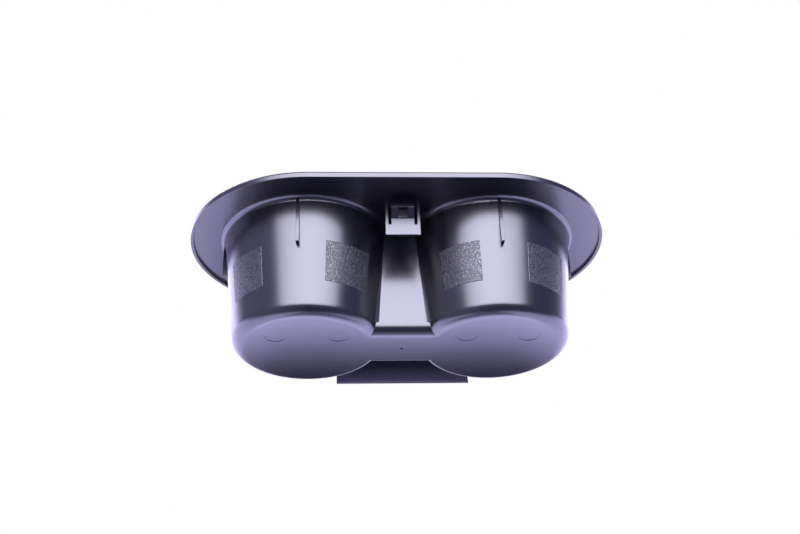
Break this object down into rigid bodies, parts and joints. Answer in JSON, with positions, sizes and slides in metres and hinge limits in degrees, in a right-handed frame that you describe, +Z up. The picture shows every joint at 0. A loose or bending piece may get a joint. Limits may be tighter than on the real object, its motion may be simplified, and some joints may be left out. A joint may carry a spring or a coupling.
{
  "type": "car cup holder",
  "caption": "Two-place drop-in cup holder insert for a car console: rounded flange with a hanging lip, tapered cups joined by a channel, and a snap clip under the flange.",
  "frame": {"origin": "on the plane of the cup floors, midway between the two cups and midway between front and back of the flange", "axes": "+X along the length, from the left cup to the right cup; +Y to the back, away from the snap clip; +Z up through the cup mouths"},
  "size_m": [0.221, 0.1262, 0.0657],
  "materials": {
    "cup_holder": "satin black moulded plastic with fine grain"
  },
  "bodies": {
    "root": {"cup_holder": "cup_holder"}
  },
  "joints": []
}
